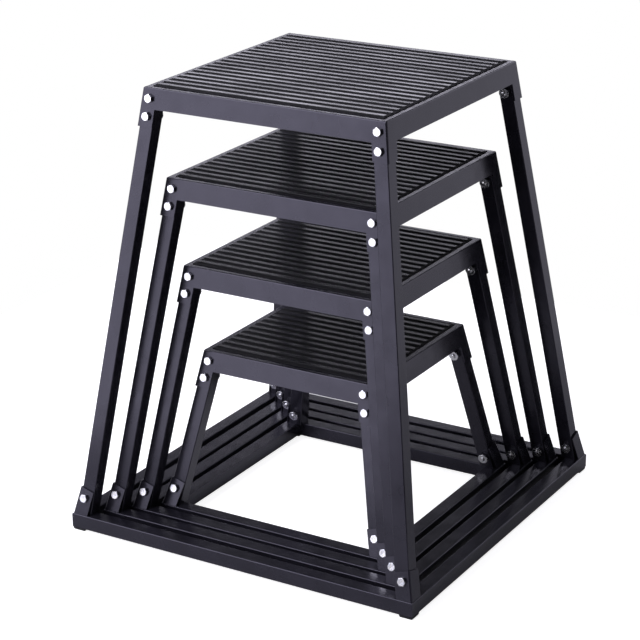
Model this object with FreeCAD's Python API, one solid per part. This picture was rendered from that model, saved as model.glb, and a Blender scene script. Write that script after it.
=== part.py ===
import FreeCAD, Part
import math
import os

from FreeCAD import Placement, Rotation, Vector

# Driving dimensions of the nested set, in millimetres
SMALLEST_HEIGHT = 304.8        # floor to rib tops of the lowest box
HEIGHT_STEP = 152.4            # each box stands this much above the one nested in it
SMALLEST_DECK_WIDTH = 323.0    # across the skirts at the upper face of the 12 in deck
DECK_STEP_18IN = 42.0          # each deck is this much wider than the one nested below it
DECK_STEP_24IN = 33.0
DECK_STEP_30IN = 45.0
SMALLEST_BASE_WIDTH = 440.0    # across the 12 in base ring
NEST_GAP_18IN = 11.0           # clear space between each base ring and the one nested in it
NEST_GAP_24IN = 9.0
NEST_GAP_30IN = 12.5

# Square tube of the legs and base rings
TUBE = 25.0
TUBE_WALL = 1.5
TUBE_BEVEL = 1.6          # flat that stands for the rounded long edges

# Folded sheet of the deck trays and the base sockets
SHEET = 2.5
FOLD_ROUND = 3.2          # outer radius of the tray's folds and closed corners, sharp inside
FOLD_BEVEL = 1.9          # flat that stands for the rounded fold of a socket
LEG_FIT = 0.3             # between a leg and the sheet on it
SKIRT_DROP = 34.0         # deck's upper face to the skirt's lower edge
TAB_DROP = 63.0           # deck's upper face to the lower edge of the corner tabs
LEG_TOP_GAP = 1.0         # leg's upper end below the deck sheet
LEG_INSET = 5.5           # line of the skirts' outer faces behind the ring's outer face, at the ring
SOCKET_HEIGHT = 48.0      # base socket above the ring, at its outer corner
SOCKET_INSET = 1.5        # foot of the socket's outer face behind the ring's outer face
SOCKET_TILT = 15.0        # degrees that the socket's top edge falls away from the corner

# Moulded feet under the ring's corners
FOOT_HEIGHT = 4.0
FOOT_INSET = 0.8          # each side of the foot's sole behind its upper edge

# Ribbed rubber mat
MAT_INSET = 9.0           # mat's edge behind the skirt's outer face
MAT_BASE = 1.0
RIB_HEIGHT = 2.0
RIB_PITCH = 21.0
RIB_FOOT = 11.0           # rib's width where it meets the mat
RIB_TOP = 9.0             # rib's width on top

# Hex bolts and nuts, with shanks and holes drawn six-sided
BOLT = 8.0                # shank across its flats
BOLT_CLEARANCE = 1.0      # hole over the shank
HEAD_FLATS = 13.0
HEAD_HEIGHT = 5.3
NUT_HEIGHT = 6.5
NUT_CLEARANCE = 0.2       # nut's bore over the shank
BOLT_TIP = 2.5            # bolt standing out of its nut
UPPER_BOLT = 17.0         # below the deck's upper face
BOLT_SPACING = 29.0       # between the two bolts of a deck corner
SOCKET_BOLT = 29.5        # above the ring's upper face

UP = Vector(0, 0, 1)
ORIGIN = Vector(0, 0, 0)
BOX_STEPS = {
    "box_12in": (0.0, -TUBE),
    "box_18in": (DECK_STEP_18IN, NEST_GAP_18IN),
    "box_24in": (DECK_STEP_24IN, NEST_GAP_24IN),
    "box_30in": (DECK_STEP_30IN, NEST_GAP_30IN),
}
CORNERS = {"front_left": (-1, -1), "front_right": (1, -1), "rear_right": (1, 1), "rear_left": (-1, 1)}
SIDE_TURNS = {"front": 0, "right": 90, "rear": 180, "left": 270}


class Box:
    """Sizes of one box of the set, and the leans that its deck and base widths give its legs and sockets."""

    def __init__(self, index):
        steps = list(BOX_STEPS.values())[:index + 1]
        self.name = list(BOX_STEPS)[index]
        self.height = SMALLEST_HEIGHT + index * HEIGHT_STEP
        self.deck = SMALLEST_DECK_WIDTH + sum(deck_step for deck_step, gap in steps)
        self.base = SMALLEST_BASE_WIDTH + sum(2 * (TUBE + gap) for deck_step, gap in steps)
        self.deck_z = self.height - MAT_BASE - RIB_HEIGHT
        self.ring_z = FOOT_HEIGHT + TUBE
        self.socket_z = self.ring_z + SOCKET_HEIGHT
        self.wrap = SHEET + LEG_FIT + TUBE
        self.lean = (self.base / 2 - LEG_INSET - self.deck / 2) / (self.deck_z - self.ring_z)
        self.socket_lean = (self.base / 2 - SOCKET_INSET - self.skin(self.socket_z)) / SOCKET_HEIGHT

    def skin(self, z, depth=0.0):
        """Half width across the leaning skirts at height z, or across faces at a depth behind them."""
        return self.deck / 2 + self.lean * (self.deck_z - z) - depth * math.hypot(1, self.lean)

    def socket_skin(self, z, depth=0.0):
        """Half width across the flaring sockets at height z, or across faces at a depth behind them."""
        foot = self.base / 2 - SOCKET_INSET
        return foot - self.socket_lean * (z - self.ring_z) - depth * math.hypot(1, self.socket_lean)

    def bolt_seats(self):
        """Places of the rear right leg's bolts on its outer sheet, turned to face out, with their grips."""
        low = self.ring_z + SOCKET_BOLT
        seats = [(low, self.socket_skin(low, self.wrap / 2), self.socket_skin(low), self.socket_lean)]
        for z in (self.deck_z - UPPER_BOLT - BOLT_SPACING, self.deck_z - UPPER_BOLT):
            seats.append((z, self.skin(z, self.wrap - TUBE / 2), self.skin(z), self.lean))
        return [(Placement(Vector(x, y, z), Rotation(UP, Vector(0, 1, lean))), self.grip(y, z, lean))
                for z, x, y, lean in seats]

    def grip(self, y, z, lean):
        """Way of a bolt from its seat to where its nut first meets the leg's inner face."""
        tilt = math.atan(lean) - math.atan(self.lean)
        depth = (y - self.skin(z, self.wrap)) / math.hypot(1, self.lean)
        return depth / math.cos(tilt) + HEAD_FLATS / math.sqrt(3) * math.tan(tilt)


def square(half, z, middle=0.0):
    """Corners of a level square, from the rear right one round to the front right one."""
    return [Vector(middle + x * half, middle + y * half, z) for x, y in ((1, 1), (-1, 1), (-1, -1), (1, -1))]


def flat_face(points):
    """Face inside a closed outline."""
    return Part.Face(Part.makePolygon(points + points[:1]))


def upright_edges(block):
    """Edges that climb the whole height of a block."""
    return [edge for edge in block.Edges if edge.BoundBox.ZLength > 0.9 * block.BoundBox.ZLength]


def tapered_block(half_low, half_high, z_low, z_high):
    """Square block between two levels, with its own half width at each."""
    block = Part.makeWedge(-half_low, z_low, -half_low, -half_high, -half_high,
                           half_low, z_high, half_low, half_high, half_high)
    block.rotate(ORIGIN, Vector(1, 0, 0), 90)
    return block


def hexagon(flats, z_low, z_high):
    """Upright six-sided bar on the origin's axis, between two levels."""
    radius = flats / math.sqrt(3)
    points = [Rotation(UP, 60 * turn).multVec(Vector(radius, 0, z_low)) for turn in range(6)]
    return flat_face(points).extrude(Vector(0, 0, z_high - z_low))


def corner_copies(shape):
    """A rear right piece and its mirror images, by corner name."""
    copies = {}
    for corner, (side_x, side_y) in CORNERS.items():
        piece = shape.copy()
        if side_x < 0:
            piece = piece.mirror(ORIGIN, Vector(1, 0, 0))
        if side_y < 0:
            piece = piece.mirror(ORIGIN, Vector(0, 1, 0))
        copies[corner] = piece
    return copies


def group(solids):
    """Like pieces kept as separate solids."""
    return Part.makeCompound(list(solids))


def bolt_holes(box, depth):
    """Drills for the rear right leg's bolts, from outside its rear face to a depth behind it."""
    drills = []
    for seat, grip in box.bolt_seats():
        drill = hexagon(BOLT + BOLT_CLEARANCE, -depth, HEAD_HEIGHT)
        drill.Placement = seat
        drills.append(drill)
    return group(drills)


def base_rail(box):
    """Front rail of the base ring: square tube with mitred ends."""
    half = box.base / 2
    bore = TUBE - 2 * TUBE_WALL
    tube = Part.makeBox(TUBE, TUBE, box.base)
    tube = tube.makeChamfer(TUBE_BEVEL, upright_edges(tube))
    tube = tube.cut(Part.makeBox(bore, bore, box.base, Vector(TUBE_WALL, TUBE_WALL, 0)))
    tube.rotate(ORIGIN, Vector(0, 1, 0), 90)
    tube.translate(Vector(-half, -half, box.ring_z))
    outer = square(half, 0)
    inner = square(half - TUBE, 0)
    mitre = flat_face([outer[2], outer[3], inner[3], inner[2]]).extrude(Vector(0, 0, box.ring_z))
    return tube.common(mitre)


def foot(box):
    """Rear right foot: a square moulded pad under the ring's corner."""
    pad = tapered_block(TUBE / 2 - FOOT_INSET, TUBE / 2, 0, FOOT_HEIGHT)
    middle = box.base / 2 - TUBE / 2
    pad.translate(Vector(middle, middle, 0))
    return pad


def base_socket(box):
    """Rear right socket: a folded angle flaring from the leg to the ring, sawn off askew and drilled once."""
    low = box.ring_z
    top = box.socket_z
    outer = box.socket_skin(low)
    inner = box.socket_skin(low, SHEET)
    free = box.socket_skin(low, box.wrap)
    plan = [(outer, outer), (free, outer), (free, inner), (inner, inner), (inner, free), (outer, free)]
    closing = box.socket_skin(top) - outer
    angle = flat_face([Vector(x, y, low) for x, y in plan]).extrude(Vector(closing, closing, SOCKET_HEIGHT))
    fold = max(upright_edges(angle), key=lambda edge: edge.CenterOfMass.x + edge.CenterOfMass.y)
    angle = angle.makeChamfer(FOLD_BEVEL, [fold])
    fall = math.tan(math.radians(SOCKET_TILT))
    room = 2 * SOCKET_HEIGHT
    waste = Part.makeBox(room, room, room, Vector(-room / 2, -room / 2, 0))
    corner = Vector(box.socket_skin(top), box.socket_skin(top), top)
    waste.Placement = Placement(corner, Rotation(UP, Vector(-fall, -fall, 1)))
    return angle.cut(waste).cut(bolt_holes(box, SHEET + LEG_FIT))


def leg(box):
    """Rear right leg: square tube leaning both ways, cut level at both ends and drilled for its bolts."""
    low = box.ring_z
    rise = box.deck_z - SHEET - LEG_TOP_GAP - low
    climb = Vector(-box.lean * rise, -box.lean * rise, rise)
    middle = box.skin(low, box.wrap - TUBE / 2)
    half = middle - box.skin(low, box.wrap)
    bore_half = half * (1 - 2 * TUBE_WALL / TUBE)
    outside = flat_face(square(half, low, middle)).extrude(climb)
    bore = flat_face(square(bore_half, low, middle)).extrude(climb)
    tube = outside.makeChamfer(TUBE_BEVEL, upright_edges(outside)).cut(bore)
    return tube.cut(bolt_holes(box, SHEET + 2 * TUBE))


def skirt_window(box):
    """Trapezium taken out of the front and rear sheets, which leaves the skirt and the two corner tabs."""
    upper = box.deck_z - SKIRT_DROP
    lower = box.deck_z - TAB_DROP - SKIRT_DROP
    reach = box.base
    outline = []
    for side, z in ((-1, upper), (1, upper), (1, lower), (-1, lower)):
        outline.append(Vector(side * box.skin(z, box.wrap), -reach / 2, z))
    return flat_face(outline).extrude(Vector(0, reach, 0))


def deck_tray(box):
    """Deck sheet folded into four leaning skirts with a long tab on each corner, drilled for the bolts."""
    low = box.deck_z - TAB_DROP
    below = low - SHEET
    roof = box.deck_z - SHEET
    outside = tapered_block(box.skin(low), box.skin(box.deck_z), low, box.deck_z)
    folds = [edge for edge in outside.Edges if edge.BoundBox.ZMax > roof]
    inside = tapered_block(box.skin(below, SHEET), box.skin(roof, SHEET), below, roof)
    tray = outside.makeFillet(FOLD_ROUND, folds).cut(inside)
    window = skirt_window(box)
    tray = tray.cut(window)
    window.rotate(ORIGIN, UP, 90)
    tray = tray.cut(window)
    for drills in corner_copies(bolt_holes(box, SHEET + LEG_FIT)).values():
        tray = tray.cut(drills)
    return tray


def deck_mat(box):
    """Ribbed mat bonded to the deck, its ribs running from side to side."""
    half = box.deck / 2 - MAT_INSET
    count = int(2 * half // RIB_PITCH)
    floor = box.deck_z + MAT_BASE
    crest = floor + RIB_HEIGHT
    outline = [(-half, floor), (-half, box.deck_z), (half, box.deck_z), (half, floor)]
    for place in range(count):
        y = ((count - 1) / 2 - place) * RIB_PITCH
        outline += [(y + RIB_FOOT / 2, floor), (y + RIB_TOP / 2, crest)]
        outline += [(y - RIB_TOP / 2, crest), (y - RIB_FOOT / 2, floor)]
    return flat_face([Vector(-half, y, z) for y, z in outline]).extrude(Vector(2 * half, 0, 0))


def bolts(box):
    """Rear right leg's bolts: heads on the outer sheet, shanks right through the leg and its nut."""
    solids = []
    for seat, grip in box.bolt_seats():
        bolt = hexagon(HEAD_FLATS, 0, HEAD_HEIGHT).fuse(hexagon(BOLT, -grip - NUT_HEIGHT - BOLT_TIP, 0))
        bolt.Placement = seat
        solids.append(bolt)
    return solids


def nuts(box):
    """Rear right leg's nuts, seated on the leg's inner face."""
    solids = []
    for seat, grip in box.bolt_seats():
        near = -grip
        far = near - NUT_HEIGHT
        nut = hexagon(HEAD_FLATS, far, near).cut(hexagon(BOLT + NUT_CLEARANCE, far, near))
        nut.Placement = seat
        solids.append(nut)
    return solids


def box_nodes(box):
    """Every piece of one box, by node name."""
    nodes = {}
    for side, turn in SIDE_TURNS.items():
        rail = base_rail(box)
        rail.rotate(ORIGIN, UP, turn)
        nodes["base_rail_" + side] = rail
    for corner, tube in corner_copies(leg(box)).items():
        nodes["leg_" + corner] = tube
    nodes["feet"] = group(corner_copies(foot(box)).values())
    nodes["base_sockets"] = group(corner_copies(base_socket(box)).values())
    nodes["deck_tray"] = deck_tray(box)
    nodes["deck_mat"] = deck_mat(box)
    nodes["bolts"] = group(copy for bolt in bolts(box) for copy in corner_copies(bolt).values())
    nodes["nuts"] = group(copy for nut in nuts(box) for copy in corner_copies(nut).values())
    return nodes


os.makedirs("parts", exist_ok=True)
for index in range(len(BOX_STEPS)):
    box = Box(index)
    for node, shape in box_nodes(box).items():
        shape.exportStep("parts/" + box.name + "_" + node + ".step")
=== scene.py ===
import math

import bmesh
import bpy
import numpy
from mathutils import Matrix, Vector


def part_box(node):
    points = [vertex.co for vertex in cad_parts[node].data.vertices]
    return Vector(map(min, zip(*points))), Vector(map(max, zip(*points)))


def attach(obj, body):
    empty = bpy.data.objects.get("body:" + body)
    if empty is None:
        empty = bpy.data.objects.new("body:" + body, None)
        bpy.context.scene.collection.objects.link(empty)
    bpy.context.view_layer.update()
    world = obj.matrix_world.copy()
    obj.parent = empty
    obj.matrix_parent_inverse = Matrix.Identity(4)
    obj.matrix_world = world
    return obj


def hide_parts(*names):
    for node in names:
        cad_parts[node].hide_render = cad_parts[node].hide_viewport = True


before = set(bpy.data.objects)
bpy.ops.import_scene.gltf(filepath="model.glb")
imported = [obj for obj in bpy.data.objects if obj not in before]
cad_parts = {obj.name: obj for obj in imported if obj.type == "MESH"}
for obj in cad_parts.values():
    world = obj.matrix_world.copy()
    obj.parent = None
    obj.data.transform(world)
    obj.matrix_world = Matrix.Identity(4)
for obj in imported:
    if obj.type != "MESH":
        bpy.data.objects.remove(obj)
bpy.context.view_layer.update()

# Base rings: each box stands on four lengths of square steel tube with rounded
# long edges, mitred at the corners and welded into a ring, then powder coated
# satin black together with everything else that is welded to it.
BOXES = ("box_12in", "box_18in", "box_24in", "box_30in")
SIDE_TURNS = {"front": 0, "right": 90, "rear": 180, "left": 270}
TUBE = 0.025
TUBE_ROUND = 0.0014
CORNER_STEPS = 5
SHARP_ANGLE = math.radians(35)
SHADING_WEIGHT = 100
COAT_DARK = (0.011, 0.0105, 0.0145, 1)
COAT_LIGHT = (0.017, 0.0162, 0.022, 1)
COAT_SHEEN = (0.82, 0.80, 0.955, 1)
NOISE_LOW, NOISE_HIGH = 0.35, 0.65
PATCH_DETAIL, GRAIN_DETAIL = 3.0, 2.0


def node_material(name, roughness, specular, metallic=0.0):
    """Material with a shader whose even values are set on its own sockets."""
    material = bpy.data.materials.new(name)
    material.use_nodes = True
    shader = material.node_tree.nodes["Principled BSDF"]
    shader.inputs["Roughness"].default_value = roughness
    shader.inputs["Specular IOR Level"].default_value = specular
    shader.inputs["Metallic"].default_value = metallic
    return material, shader


def noise(material, size, detail, stretch=(1, 1, 1)):
    """Noise over the piece's own coordinates, with grains about that many metres across."""
    nodes, links = material.node_tree.nodes, material.node_tree.links
    place = nodes.new("ShaderNodeTexCoord")
    mapping = nodes.new("ShaderNodeMapping")
    mapping.inputs["Scale"].default_value = [factor / size for factor in stretch]
    grains = nodes.new("ShaderNodeTexNoise")
    grains.inputs["Scale"].default_value = 1.0
    grains.inputs["Detail"].default_value = detail
    links.new(place.outputs["Object"], mapping.inputs["Vector"])
    links.new(mapping.outputs["Vector"], grains.inputs["Vector"])
    return grains.outputs["Fac"]


def patches(material, shader, size, first, second):
    """Base colour that drifts between two colours."""
    ramp = material.node_tree.nodes.new("ShaderNodeValToRGB")
    ramp.color_ramp.elements[0].position = NOISE_LOW
    ramp.color_ramp.elements[0].color = first
    ramp.color_ramp.elements[1].position = NOISE_HIGH
    ramp.color_ramp.elements[1].color = second
    material.node_tree.links.new(noise(material, size, PATCH_DETAIL), ramp.inputs["Fac"])
    material.node_tree.links.new(ramp.outputs["Color"], shader.inputs["Base Color"])


def uneven(material, socket, size, low, high, stretch=(1, 1, 1)):
    """Value of a socket that drifts over a range."""
    ramp = material.node_tree.nodes.new("ShaderNodeMapRange")
    ramp.inputs["From Min"].default_value = NOISE_LOW
    ramp.inputs["From Max"].default_value = NOISE_HIGH
    ramp.inputs["To Min"].default_value = low
    ramp.inputs["To Max"].default_value = high
    material.node_tree.links.new(noise(material, size, PATCH_DETAIL, stretch), ramp.inputs["Value"])
    material.node_tree.links.new(ramp.outputs["Result"], socket)


def bumps(material, shader, size, depth, strength):
    """Surface relief of that depth in metres."""
    relief = material.node_tree.nodes.new("ShaderNodeBump")
    relief.inputs["Distance"].default_value = depth
    relief.inputs["Strength"].default_value = strength
    material.node_tree.links.new(noise(material, size, GRAIN_DETAIL), relief.inputs["Height"])
    material.node_tree.links.new(relief.outputs["Normal"], shader.inputs["Normal"])


powder_coat, coat_shader = node_material("powder_coat", roughness=0.21, specular=0.55)
coat_shader.inputs["Specular Tint"].default_value = COAT_SHEEN
patches(powder_coat, coat_shader, size=0.06, first=COAT_DARK, second=COAT_LIGHT)
uneven(powder_coat, coat_shader.inputs["Roughness"], size=0.025, low=0.18, high=0.24)
bumps(powder_coat, coat_shader, size=0.0012, depth=0.000016, strength=0.5)


def skin(name, loops):
    """Closed mesh through a row of like loops of points, capped at both ends."""
    shell = bmesh.new()
    rows = [[shell.verts.new(point) for point in loop] for loop in loops]
    count = len(loops[0])
    for lower, upper in zip(rows, rows[1:]):
        for place in range(count):
            following = (place + 1) % count
            shell.faces.new((lower[place], lower[following], upper[following], upper[place]))
    shell.faces.new(list(reversed(rows[0])))
    shell.faces.new(rows[-1])
    bmesh.ops.recalc_face_normals(shell, faces=shell.faces)
    mesh = bpy.data.meshes.new(name)
    shell.to_mesh(mesh)
    shell.free()
    return mesh


def set_in_place(name, mesh, body, slot, material, *nodes):
    """Piece in the part's frame that rides on its box and stands for its CAD nodes."""
    for polygon in mesh.polygons:
        polygon.use_smooth = True
    mesh.set_sharp_from_angle(angle=SHARP_ANGLE)
    mesh.materials.clear()
    mesh.materials.append(material)
    piece = bpy.data.objects.new(name, mesh)
    bpy.context.scene.collection.objects.link(piece)
    evener = piece.modifiers.new("even_shading", "WEIGHTED_NORMAL")
    evener.keep_sharp = True
    evener.weight = SHADING_WEIGHT
    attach(piece, body)
    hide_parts(*nodes)


def rounded_square(half, radius):
    """Points round a square with rounded corners, from the right-hand side anticlockwise."""
    points = []
    for quarter in range(4):
        middle = Vector((half - radius, half - radius))
        middle.rotate(Matrix.Rotation(quarter * math.pi / 2, 2))
        for step in range(CORNER_STEPS + 1):
            turn = (quarter + step / CORNER_STEPS) * math.pi / 2
            points.append(middle + radius * Vector((math.cos(turn), math.sin(turn))))
    return points


for box in BOXES:
    for side, degrees in SIDE_TURNS.items():
        node = box + "_base_rail_" + side
        low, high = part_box(node)
        half = max(high.x, high.y)
        centre_z = (low.z + high.z) / 2
        turn = Matrix.Rotation(math.radians(degrees), 4, "Z")
        ends = []
        for end in (-1, 1):
            loop = []
            for across, up in rounded_square(TUBE / 2, TUBE_ROUND):
                inward = across + TUBE / 2
                loop.append(turn @ Vector((end * (half - inward), inward - half, centre_z + up)))
            ends.append(loop)
        set_in_place(node + "_tube", skin(node, ends), box, "powder_coat", powder_coat, node)

# Feet: square pads moulded in black plastic under the four corners of each ring,
# drawn in a little towards the sole, with soft edges and a finely grained skin.
FOOT_CORNER = 0.003
FOOT_STEPS = ((0.0, 0.0016), (0.0005, 0.0009), (0.0012, 0.0006), (0.004, 0.0))
FOOT_PLAIN = (0.016, 0.016, 0.0175, 1)
FOOT_WORN = (0.027, 0.027, 0.029, 1)
CORNERS = ((-1, -1), (1, -1), (1, 1), (-1, 1))


def level_square(x, y, z, half, radius):
    """Level loop of points round a square with rounded corners."""
    return [Vector((x + across, y + along, z)) for across, along in rounded_square(half, radius)]


def joined(name, meshes):
    """Several meshes as one, their pieces still apart."""
    gathered = bmesh.new()
    for mesh in meshes:
        gathered.from_mesh(mesh)
        bpy.data.meshes.remove(mesh)
    whole = bpy.data.meshes.new(name)
    gathered.to_mesh(whole)
    gathered.free()
    return whole


foot_plastic, foot_shader = node_material("foot_plastic", roughness=0.55, specular=0.4)
patches(foot_plastic, foot_shader, size=0.012, first=FOOT_PLAIN, second=FOOT_WORN)
uneven(foot_plastic, foot_shader.inputs["Roughness"], size=0.006, low=0.5, high=0.65)
bumps(foot_plastic, foot_shader, size=0.0007, depth=0.00006, strength=0.7)

for box in BOXES:
    low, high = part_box(box + "_feet")
    middle = high.x - TUBE / 2
    pads = []
    for side_x, side_y in CORNERS:
        loops = []
        for height, inset in FOOT_STEPS:
            loops.append(level_square(side_x * middle, side_y * middle, low.z + height,
                                      TUBE / 2 - inset, FOOT_CORNER - inset))
        pads.append(skin("pad", loops))
    set_in_place(box + "_foot_pads", joined("foot_pads", pads), box, "foot_plastic", foot_plastic,
                 box + "_feet")

# Base sockets: angles folded from steel sheet, sawn off askew at the top, welded on
# the ring's corners and coated with it. They flare outwards from the leg to the ring.
SHEET = 0.0025
LEG_FIT = 0.0003
WRAP = SHEET + LEG_FIT + TUBE
MAT_INSET = 0.009
SOCKET_HEIGHT = 0.048
SOCKET_FALL = math.tan(math.radians(15))
FOLD_OUTSIDE = 0.0027
FOLD_INSIDE = 0.0002
FOLD_STEPS = 6
SHEET_EDGE = 0.0003
SOFTENED_FROM = math.radians(40)


class LegLine:
    """Line of one box's leaning skirts and legs, read from its deck tray and mat."""

    def __init__(self, box):
        tray_low, tray_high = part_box(box + "_deck_tray")
        self.deck_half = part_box(box + "_deck_mat")[1].x + MAT_INSET
        self.deck_z = tray_high.z
        self.ring_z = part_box(box + "_base_rail_front")[1].z
        self.lean = (tray_high.x - self.deck_half) / (tray_high.z - tray_low.z)
        self.stretch = math.hypot(1, self.lean)

    def half(self, z, depth=0.0):
        """Half width across the skirts' outer faces at height z, or across a depth behind them."""
        return self.deck_half + self.lean * (self.deck_z - z) - depth * self.stretch


def arc(centre, radius, start, end, steps):
    """Points along an arc, between two angles in degrees."""
    points = []
    for step in range(steps + 1):
        turn = math.radians(start + (end - start) * step / steps)
        points.append(centre + radius * Vector((math.cos(turn), math.sin(turn))))
    return points


def softened(mesh, width, segments=2):
    """Sharp edges of a mesh taken off by a small rounding."""
    shape = bmesh.new()
    shape.from_mesh(mesh)
    sharp = [edge for edge in shape.edges if edge.calc_face_angle(0) > SOFTENED_FROM]
    bmesh.ops.bevel(shape, geom=sharp, offset=width, segments=segments, profile=0.5, affect="EDGES",
                    clamp_overlap=True)
    shape.to_mesh(mesh)
    shape.free()
    return mesh


for box in BOXES:
    line = LegLine(box)
    foot_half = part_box(box + "_base_sockets")[1].x
    top_z = line.ring_z + SOCKET_HEIGHT
    top_half = line.half(top_z)
    stretch = math.hypot(1, (foot_half - top_half) / SOCKET_HEIGHT)
    sheet, wrap = SHEET * stretch, WRAP * stretch
    outer_middle = Vector((-FOLD_OUTSIDE, -FOLD_OUTSIDE))
    inner_middle = Vector((-sheet - FOLD_INSIDE, -sheet - FOLD_INSIDE))
    plan = [*arc(outer_middle, FOLD_OUTSIDE, 0, 90, FOLD_STEPS),
            Vector((-wrap, 0)), Vector((-wrap, -sheet)),
            *arc(inner_middle, FOLD_INSIDE, 90, 0, FOLD_STEPS // 2),
            Vector((-sheet, -wrap)), Vector((0, -wrap))]
    climb = Vector((top_half - foot_half, top_half - foot_half, SOCKET_HEIGHT))
    corner = Vector((top_half, top_half, top_z))
    saw = Vector((-SOCKET_FALL, -SOCKET_FALL, 1))
    angles = []
    for side_x, side_y in CORNERS:
        foot_loop, top_loop = [], []
        for x, y in plan:
            start = Vector((foot_half + x, foot_half + y, line.ring_z))
            end = start + climb * (saw.dot(corner - start) / saw.dot(climb))
            foot_loop.append(Vector((side_x * start.x, side_y * start.y, start.z)))
            top_loop.append(Vector((side_x * end.x, side_y * end.y, end.z)))
        angles.append(softened(skin("angle", [foot_loop, top_loop]), SHEET_EDGE))
    set_in_place(box + "_sockets_folded", joined("sockets", angles), box, "powder_coat", powder_coat,
                 box + "_base_sockets")

# Legs: four square tubes to a box, leaning inwards both ways, cut level at both ends.
# Each stands on the ring inside its socket and runs up into the corner of the deck tray.
LEG_TOP_GAP = 0.001
CORNER_NAMES = ("front_left", "front_right", "rear_right", "rear_left")

for box in BOXES:
    line = LegLine(box)
    for corner_name, (side_x, side_y) in zip(CORNER_NAMES, CORNERS):
        node = box + "_leg_" + corner_name
        loops = []
        for z in (line.ring_z, line.deck_z - SHEET - LEG_TOP_GAP):
            middle = line.half(z, WRAP - TUBE / 2)
            loops.append(level_square(side_x * middle, side_y * middle, z, TUBE / 2 * line.stretch,
                                      TUBE_ROUND))
        set_in_place(node + "_tube", skin(node, loops), box, "powder_coat", powder_coat, node)

# Deck trays: one steel sheet each, folded down on all four sides into leaning skirts,
# with the corners welded shut and drawn down into long tabs that wrap the legs.
SKIRT_DROP = 0.034
TAB_DROP = 0.063
DECK_CORNER = 0.2
TRAY_BEVEL_FROM = math.radians(50)


def tray_shell(line):
    """Outer face of a tray: a row of levels round the plan, the lowest on the tabs alone."""
    fold_angle = math.pi / 2 - math.atan(line.lean)
    fold_start = line.deck_half - FOLD_OUTSIDE * math.tan(fold_angle / 2)
    levels = []
    for step in range(FOLD_STEPS + 1):
        turn = fold_angle * step / FOLD_STEPS
        levels.append((fold_start + FOLD_OUTSIDE * math.sin(turn),
                       line.deck_z - FOLD_OUTSIDE * (1 - math.cos(turn))))
    for drop in (SKIRT_DROP, TAB_DROP):
        levels.append((line.half(line.deck_z - drop), line.deck_z - drop))
    shell = bmesh.new()
    rows = []
    for number, (half, z) in enumerate(levels):
        radius = FOLD_OUTSIDE * min(1.0, DECK_CORNER + (1 - DECK_CORNER) * number / FOLD_STEPS)
        tab_edge = line.half(z if number >= FOLD_STEPS else line.deck_z - SKIRT_DROP, WRAP)
        points = [Vector((half, tab_edge)),
                  *arc(Vector((half - radius, half - radius)), radius, 0, 90, FOLD_STEPS),
                  Vector((tab_edge, half))]
        row = []
        for quarter in range(4):
            turn = Matrix.Rotation(quarter * math.pi / 2, 2)
            row += [shell.verts.new((*(turn @ point), z)) for point in points]
        rows.append(row)
    count = len(rows[0])
    span = count // 4
    for number, (upper, lower) in enumerate(zip(rows, rows[1:])):
        for place in range(count):
            along_skirt = place % span == span - 1
            if number == len(rows) - 2 and along_skirt:
                continue
            following = (place + 1) % count
            shell.faces.new((lower[place], lower[following], upper[following], upper[place]))
    shell.faces.new(rows[0])
    bmesh.ops.recalc_face_normals(shell, faces=shell.faces)
    mesh = bpy.data.meshes.new("tray")
    shell.to_mesh(mesh)
    shell.free()
    return mesh


def shaped(mesh, *steps):
    """Mesh after a row of modifiers, each given as a kind and its settings."""
    blank = bpy.data.objects.new("blank", mesh)
    bpy.context.scene.collection.objects.link(blank)
    for kind, settings in steps:
        modifier = blank.modifiers.new(kind.lower(), kind)
        for setting, value in settings.items():
            setattr(modifier, setting, value)
    depsgraph = bpy.context.evaluated_depsgraph_get()
    done = bpy.data.meshes.new_from_object(blank.evaluated_get(depsgraph))
    bpy.data.objects.remove(blank)
    bpy.data.meshes.remove(mesh)
    return done


for box in BOXES:
    tray = shaped(tray_shell(LegLine(box)),
                  ("SOLIDIFY", {"thickness": SHEET, "offset": -1, "use_even_offset": True,
                                "use_quality_normals": True}),
                  ("BEVEL", {"width": SHEET_EDGE, "segments": 2, "angle_limit": TRAY_BEVEL_FROM}))
    set_in_place(box + "_tray_folded", tray, box, "powder_coat", powder_coat, box + "_deck_tray")

# Deck mats: black rubber moulded with broad ribs from side to side, bonded flat on the
# deck inside its rim. Rib tops are polished a little by use, grooves stay dull.
RIB_PITCH = 0.021
RIB_FOOT = 0.0081
RIB_TOP = 0.0077
MAT_BASE = 0.001
MAT_TRIM = 0.0025
MAT_BORDER = 0.0024
RIB_DRAFT = 0.0003
RIB_EDGE = 0.0004
WORN_ABOVE = RIB_EDGE * 1.5
GROOVE_ROUGHNESS = 0.8
POLISH = {"box_12in": 0.87, "box_18in": 0.87, "box_24in": 0.87, "box_30in": 1.0}
RUBBER_DULL = (0.004, 0.0039, 0.0052, 1)
RUBBER_WORN = (0.009, 0.0088, 0.0108, 1)
ALONG_RIBS = (0.3, 1, 1)

mat_rubber, rubber_shader = node_material("mat_rubber", roughness=0.16, specular=0.35)
rubber_nodes, rubber_links = mat_rubber.node_tree.nodes, mat_rubber.node_tree.links
patches(mat_rubber, rubber_shader, size=0.05, first=RUBBER_DULL, second=RUBBER_WORN)
wear = rubber_nodes.new("ShaderNodeAttribute")
wear.attribute_name = "wear"
polish = rubber_nodes.new("ShaderNodeMix")
polish.inputs["A"].default_value = GROOVE_ROUGHNESS
rubber_links.new(wear.outputs["Fac"], polish.inputs["Factor"])
uneven(mat_rubber, polish.inputs["B"], size=0.03, low=0.13, high=0.19, stretch=ALONG_RIBS)
rubber_links.new(polish.outputs["Result"], rubber_shader.inputs["Roughness"])
bumps(mat_rubber, rubber_shader, size=0.0008, depth=0.000004, strength=0.5)

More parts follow.
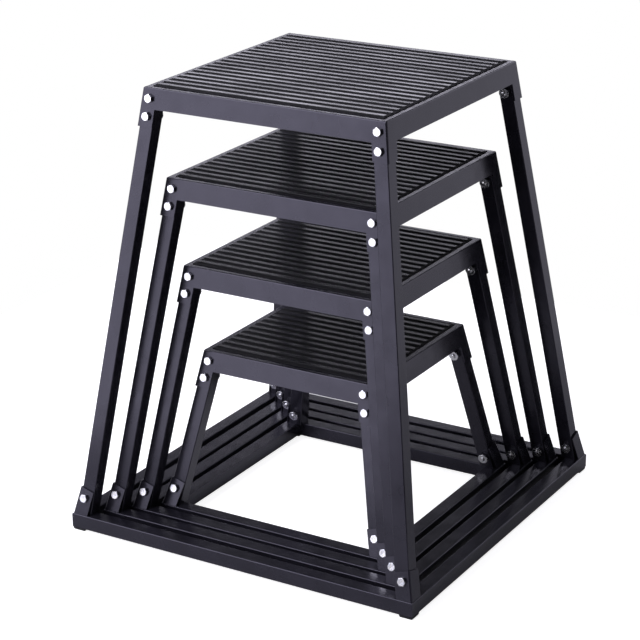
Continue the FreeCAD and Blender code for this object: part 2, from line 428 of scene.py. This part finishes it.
for box in BOXES:
    low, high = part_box(box + "_deck_mat")
    half = high.x - MAT_TRIM
    floor = low.z + MAT_BASE
    rib_foot = half - MAT_BORDER
    rib_top = rib_foot - RIB_DRAFT
    count = int(2 * high.x // RIB_PITCH)
    loops = []
    for x, top in ((-half, floor), (-rib_foot, floor), (-rib_top, high.z),
                   (rib_top, high.z), (rib_foot, floor), (half, floor)):
        outline = [(-half, floor), (-half, low.z), (half, low.z), (half, floor)]
        for place in range(count):
            y = ((count - 1) / 2 - place) * RIB_PITCH
            outline += [(y + RIB_FOOT / 2, floor), (y + RIB_TOP / 2, top),
                        (y - RIB_TOP / 2, top), (y - RIB_FOOT / 2, floor)]
        loops.append([Vector((x, y, z)) for y, z in outline])
    ribbed = softened(skin("mat", loops), RIB_EDGE, segments=3)
    worn = ribbed.attributes.new("wear", "FLOAT", "POINT")
    for vertex in ribbed.vertices:
        worn.data[vertex.index].value = POLISH[box] if vertex.co.z > floor + WORN_ABOVE else 0.0
    set_in_place(box + "_mat_ribbed", ribbed, box, "mat_rubber", mat_rubber, box + "_deck_mat")

# Bolts: bright zinc plated M8 hex bolts, one through each socket and two through each
# deck corner, with turned bearing faces, chamfered and dished heads and rolled threads.
HEAD_FLATS = 0.013
HEAD_HEIGHT = 0.0053
HEAD_BEARING = HEAD_FLATS * 0.475
BEARING_HEIGHT = 0.0003
HEAD_EDGE_HEIGHT = 0.0005
HEAD_EDGE_SHARE = 0.985
CHAMFER_SLOPE = math.tan(math.radians(28))
HEAD_CHAMFER_DROP = 0.0002
DISH_RIM = HEAD_FLATS * 0.34
DISH_FLOOR = HEAD_FLATS * 0.05
DISH_DEPTH = 0.00012
SHANK = 0.004
TIP_DOME = ((0.25, 0.0), (0.55, 0.0002), (0.75, 0.0005))
THREAD_PITCH = 0.00125
THREAD_DEPTH = 0.0006
THREAD_LENGTH = 0.012
THREAD_START = 0.0009
FIRST_CREST_HEIGHT = 0.0008
FIRST_CREST = SHANK - THREAD_DEPTH * 0.4
CREST = SHANK - 0.0001
CREST_FROM, CREST_TO = THREAD_PITCH * 0.42, THREAD_PITCH * 0.58
ROUND_STEPS = 36
HEX_TURN = 60
BOLT_SPIN = 37
WELD_REACH = 1e-6
HEAD_FACE_REACH = 1e-5
ZINC_COOL = (0.70, 0.72, 0.76, 1)
ZINC_WARM = (0.80, 0.79, 0.76, 1)


def solids_of(node):
    """Corner points of each separate solid in a CAD node."""
    welded = bmesh.new()
    welded.from_mesh(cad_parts[node].data)
    bmesh.ops.remove_doubles(welded, verts=welded.verts, dist=WELD_REACH)
    found = []
    seen = set()
    for first in welded.verts:
        if first in seen:
            continue
        seen.add(first)
        reached = [first]
        for vertex in reached:
            for edge in vertex.link_edges:
                other = edge.other_vert(vertex)
                if other not in seen:
                    seen.add(other)
                    reached.append(other)
        found.append(numpy.array([vertex.co[:] for vertex in reached]))
    welded.free()
    return sorted(found, key=lambda points: tuple(points.mean(axis=0).round(4)))


def long_axis(points):
    """Direction of a bolt from its tip to its head, its head's outer middle and its length."""
    from_middle = points - points.mean(axis=0)
    axis = numpy.linalg.eigh(from_middle.T @ from_middle)[1][:, 2]
    if axis[1] * points[:, 1].mean() < 0:
        axis = -axis
    along = points @ axis
    head = points[along > along.max() - HEAD_FACE_REACH].mean(axis=0)
    return Vector(axis), Vector(head), float(along.max() - along.min())


def hex_radius(turn):
    """Radius at an angle of the hexagon that heads and nuts share."""
    sixth = math.pi / 3
    return HEAD_FLATS / 2 / math.cos((turn % sixth) - sixth / 2)


def hex_edge_radius(turn):
    """Radius at an angle of the hexagon where the head's lower edge is drawn in."""
    return hex_radius(turn) * HEAD_EDGE_SHARE


def chamfer_drop(reach):
    """How far a chamfered end has fallen at a radius."""
    return max(0, reach - HEAD_BEARING) * CHAMFER_SLOPE


def turned(outline):
    """Closed mesh about the Z axis through loops, each a radius and a height.

    A radius may be a function of the angle, and a height a function of the radius.
    """
    loops = []
    for radius, height in outline:
        loop = []
        for step in range(ROUND_STEPS):
            turn = 2 * math.pi * step / ROUND_STEPS
            reach = radius(turn) if callable(radius) else radius
            rise = height(reach) if callable(height) else height
            loop.append(Vector((reach * math.cos(turn), reach * math.sin(turn), rise)))
        loops.append(loop)
    return skin("turned", loops)


def bolt_mesh(length):
    """Bolt along +Z with its head's outer face at zero."""
    under = -HEAD_HEIGHT
    tip = -length
    outline = [(SHANK * share, tip + rise) for share, rise in TIP_DOME]
    outline.append((FIRST_CREST, tip + FIRST_CREST_HEIGHT))
    z = tip + THREAD_START
    while z < tip + THREAD_LENGTH:
        outline += [(SHANK - THREAD_DEPTH, z), (CREST, z + CREST_FROM), (CREST, z + CREST_TO)]
        z += THREAD_PITCH
    outline += [(SHANK, z), (SHANK, under),
                (HEAD_BEARING, under), (HEAD_BEARING, under + BEARING_HEIGHT),
                (hex_edge_radius, under + BEARING_HEIGHT), (hex_radius, under + HEAD_EDGE_HEIGHT),
                (hex_radius, lambda reach: -chamfer_drop(reach) - HEAD_CHAMFER_DROP),
                (HEAD_BEARING, 0.0), (DISH_RIM, 0.0), (DISH_FLOOR, -DISH_DEPTH)]
    return turned(outline)


def stood(mesh, place, axis, degrees):
    """Mesh turned about the Z axis, moved onto a bolt's line and spun there."""
    spin = Matrix.Rotation(math.radians(degrees % HEX_TURN), 4, "Z")
    lean = axis.to_track_quat("Z", "Y").to_matrix().to_4x4()
    mesh.transform(Matrix.Translation(place) @ lean @ spin)
    return mesh


zinc, zinc_shader = node_material("zinc_plate", roughness=0.24, specular=0.5, metallic=1.0)
patches(zinc, zinc_shader, size=0.004, first=ZINC_COOL, second=ZINC_WARM)
uneven(zinc, zinc_shader.inputs["Roughness"], size=0.002, low=0.2, high=0.28)
bumps(zinc, zinc_shader, size=0.0008, depth=0.00001, strength=0.5)

bolt_lines = {box: [] for box in BOXES}
for box in BOXES:
    made = []
    for number, points in enumerate(solids_of(box + "_bolts")):
        axis, head, length = long_axis(points)
        bolt_lines[box].append((axis, head))
        made.append(stood(bolt_mesh(length), head, axis, number * BOLT_SPIN))
    set_in_place(box + "_hex_bolts", joined("bolts", made), box, "zinc", zinc, box + "_bolts")

# Nuts: bright zinc plated M8 flange nuts, each a hexagon with a chamfered end on a round
# flange, run up on the bolts until the flange bears on the inner face of the leg.
NUT_HEIGHT = 0.0065
NUT_BORE = 0.0041
MOUTH_WIDTH = 0.0004
MOUTH_DEPTH = 0.0005
FLANGE = 0.0089
FLANGE_FOOT = 0.0003
FLANGE_EDGE = 0.0009
FLANGE_ROLL = 0.0008
FLANGE_ROLL_TURNS = (0, 24, 48, 68)
FLANGE_SLOPE = math.tan(math.radians(18))
NUT_CHAMFER_DROP = 0.0008
CROWN_EDGE_DROP = 0.0006
CROWN_SHARE = 0.8
CROWN_DROP = 0.0002
NUT_SPIN = 23


def nut_mesh():
    """Nut about +Z, from zero up to its height."""
    rim = [(FLANGE - FLANGE_ROLL * (1 - math.cos(turn)), FLANGE_EDGE + FLANGE_ROLL * math.sin(turn))
           for turn in map(math.radians, FLANGE_ROLL_TURNS)]
    rim_reach, rim_height = rim[-1]
    outline = [(NUT_BORE, MOUTH_DEPTH), (NUT_BORE + MOUTH_WIDTH, 0.0),
               (FLANGE - FLANGE_FOOT, 0.0), (FLANGE, FLANGE_FOOT), *rim,
               (hex_radius, lambda reach: rim_height + (rim_reach - reach) * FLANGE_SLOPE),
               (hex_radius, lambda reach: NUT_HEIGHT - chamfer_drop(reach) - NUT_CHAMFER_DROP),
               (HEAD_BEARING, NUT_HEIGHT - CROWN_EDGE_DROP),
               (HEAD_BEARING * CROWN_SHARE, NUT_HEIGHT - CROWN_DROP),
               (NUT_BORE + MOUTH_WIDTH, NUT_HEIGHT), (NUT_BORE, NUT_HEIGHT - MOUTH_DEPTH)]
    return turned(outline)


for box in BOXES:
    made = []
    for number, points in enumerate(solids_of(box + "_nuts")):
        middle = Vector(points.mean(axis=0))
        axis = min(bolt_lines[box], key=lambda bolt: (middle - bolt[1]).cross(bolt[0]).length)[0]
        made.append(stood(nut_mesh(), middle - axis * (NUT_HEIGHT / 2), axis, number * NUT_SPIN))
    set_in_place(box + "_hex_nuts", joined("nuts", made), box, "zinc", zinc, box + "_nuts")

# Floor: a plain pale studio floor that carries the object's shadow. It glows near white
# to the camera but only a little in reflections, so that the faces towards it stay dark.
FLOOR_HALF = 1.1
FLOOR_LEVEL = -0.0004
FLOOR_PALE = (0.65, 0.65, 0.65, 1)
FLOOR_WHITE = 0.88
FLOOR_MIRRORED = 0.03


def maths(tree, operation, *values):
    """Result of a maths node, from outputs of other nodes and plain numbers."""
    node = tree.nodes.new("ShaderNodeMath")
    node.operation = operation
    for socket, value in zip(node.inputs, values):
        if isinstance(value, float):
            socket.default_value = value
        else:
            tree.links.new(value, socket)
    return node.outputs["Value"]


floor_mesh = bpy.data.meshes.new("floor")
floor_corners = [(side_x * FLOOR_HALF, side_y * FLOOR_HALF, FLOOR_LEVEL) for side_x, side_y in CORNERS]
floor_mesh.from_pydata(floor_corners, [], [(0, 1, 2, 3)])
floor_piece = bpy.data.objects.new("studio_floor", floor_mesh)
bpy.context.scene.collection.objects.link(floor_piece)
floor_paint, floor_shader = node_material("studio_floor", roughness=0.9, specular=0.2)
floor_shader.inputs["Base Color"].default_value = FLOOR_PALE
floor_mesh.materials.append(floor_paint)
floor_tree = floor_paint.node_tree
floor_rays = floor_tree.nodes.new("ShaderNodeLightPath").outputs
floor_open = maths(floor_tree, "MAXIMUM", floor_rays["Is Camera Ray"], floor_rays["Is Transmission Ray"])
floor_mirrored = maths(floor_tree, "MULTIPLY", floor_rays["Is Glossy Ray"], FLOOR_MIRRORED)
floor_seen = maths(floor_tree, "MULTIPLY_ADD", floor_open, FLOOR_WHITE, floor_mirrored)
floor_glow = floor_tree.nodes.new("ShaderNodeEmission")
floor_sum = floor_tree.nodes.new("ShaderNodeAddShader")
floor_tree.links.new(floor_seen, floor_glow.inputs["Strength"])
floor_tree.links.new(floor_shader.outputs["BSDF"], floor_sum.inputs[0])
floor_tree.links.new(floor_glow.outputs["Emission"], floor_sum.inputs[1])
floor_tree.links.new(floor_sum.outputs["Shader"], floor_tree.nodes["Material Output"].inputs["Surface"])

# Studio: a surround white to the camera but dim in reflections, so that the coat stays dark,
# and large soft boxes, each with its place, its size and its glow: bright ones at the front
# left and above, a long strip far behind that streaks the decks, weak ones right and rear.
SURROUND = 0.03
SURROUND_MIRRORED = 0.04
SURROUND_WHITE = 1.0
LAMP_COLOUR = (0.95, 0.93, 1.07)
SOFT_BOXES = {
    "front_low_left": ((-2.59, -3.05, -0.06), (1.66, 1.06), 2.35),
    "front_low_right": ((-1.61, -3.59, 0.02), (0.61, 0.9), 2.4),
    "front_mid": ((-2.34, -3.23, 1.08), (2.24, 1.27), 2.85),
    "left": ((-3.85, 0.34, 1.49), (3.7, 2.9), 1.5),
    "left_high": ((-2.13, -0.99, 3.69), (4.6, 2.0), 3.2),
    "overhead": ((0.0, 0.0, 5.45), (3.6, 2.7), 0.8),
    "behind": ((-6.79, 12.24, 4.35), (13.0, 0.75), 3.2),
    "front_high": ((-1.75, -3.00, 2.60), (4.4, 1.9), 2.8),
    "right_high": ((1.07, 3.49, 2.08), (2.6, 1.5), 1.3),
    "right": ((4.00, -0.30, 1.10), (2.6, 2.2), 0.6),
    "rear": ((-0.20, 4.30, 1.30), (2.6, 2.0), 0.5),
    "right_rear_low": ((2.20, 3.14, -0.69), (3.2, 1.2), 0.58),
    "right_rear": ((2.29, 3.27, 0.59), (3.2, 1.41), 0.7),
}
AIM = Vector((0, 0, 0.45))

world = bpy.data.worlds.new("studio")
bpy.context.scene.world = world
world.use_nodes = True
sky_tree = world.node_tree
sky = sky_tree.nodes["Background"]
sky.inputs["Color"].default_value = (1, 1, 1, 1)
sky_rays = sky_tree.nodes.new("ShaderNodeLightPath").outputs
sky_seen = maths(sky_tree, "MAXIMUM", sky_rays["Is Camera Ray"], sky_rays["Is Transmission Ray"])
sky_dim = sky_tree.nodes.new("ShaderNodeMapRange")
sky_dim.inputs["To Min"].default_value = SURROUND
sky_dim.inputs["To Max"].default_value = SURROUND_MIRRORED
sky_level = sky_tree.nodes.new("ShaderNodeMapRange")
sky_level.inputs["To Max"].default_value = SURROUND_WHITE
sky_tree.links.new(sky_rays["Is Glossy Ray"], sky_dim.inputs["Value"])
sky_tree.links.new(sky_seen, sky_level.inputs["Value"])
sky_tree.links.new(sky_dim.outputs["Result"], sky_level.inputs["To Min"])
sky_tree.links.new(sky_level.outputs["Result"], sky.inputs["Strength"])

for name, (place, (width, height), glow) in SOFT_BOXES.items():
    lamp = bpy.data.lights.new(name, "AREA")
    lamp.shape = "RECTANGLE"
    lamp.color = LAMP_COLOUR
    lamp.size, lamp.size_y = width, height
    lamp.energy = glow * math.pi * width * height
    holder = bpy.data.objects.new("soft_box_" + name, lamp)
    holder.location = place
    holder.rotation_euler = (AIM - holder.location).to_track_quat("-Z", "Y").to_euler()
    holder.visible_camera = False
    bpy.context.scene.collection.objects.link(holder)

# Camera: a long lens a little to the right of the front and above the tallest deck,
# tilted a trace about its own line of sight.
CAMERA_TURN = math.radians(30.96)
CAMERA_RISE = math.radians(20.39)
CAMERA_ROLL = math.radians(-0.55)
CAMERA_AIM = Vector((-0.07554, 0.07519, 0.29353))
CAMERA_REACH = 3.69787
LENS = 119.09
SENSOR_WIDTH = 36

back = Vector((math.sin(CAMERA_TURN) * math.cos(CAMERA_RISE),
               -math.cos(CAMERA_TURN) * math.cos(CAMERA_RISE),
               math.sin(CAMERA_RISE)))
right = Vector((math.cos(CAMERA_TURN), math.sin(CAMERA_TURN), 0))
up = back.cross(right)
right, up = (right * math.cos(CAMERA_ROLL) + up * math.sin(CAMERA_ROLL),
             up * math.cos(CAMERA_ROLL) - right * math.sin(CAMERA_ROLL))
camera_data = bpy.data.cameras.new("camera")
camera_data.lens = LENS
camera_data.sensor_width = SENSOR_WIDTH
camera = bpy.data.objects.new("camera", camera_data)
camera.matrix_world = (Matrix.Translation(CAMERA_AIM + back * CAMERA_REACH)
                       @ Matrix((right, up, back)).transposed().to_4x4())
bpy.context.scene.collection.objects.link(camera)
bpy.context.scene.camera = camera
bpy.context.scene.view_settings.view_transform = "Standard"
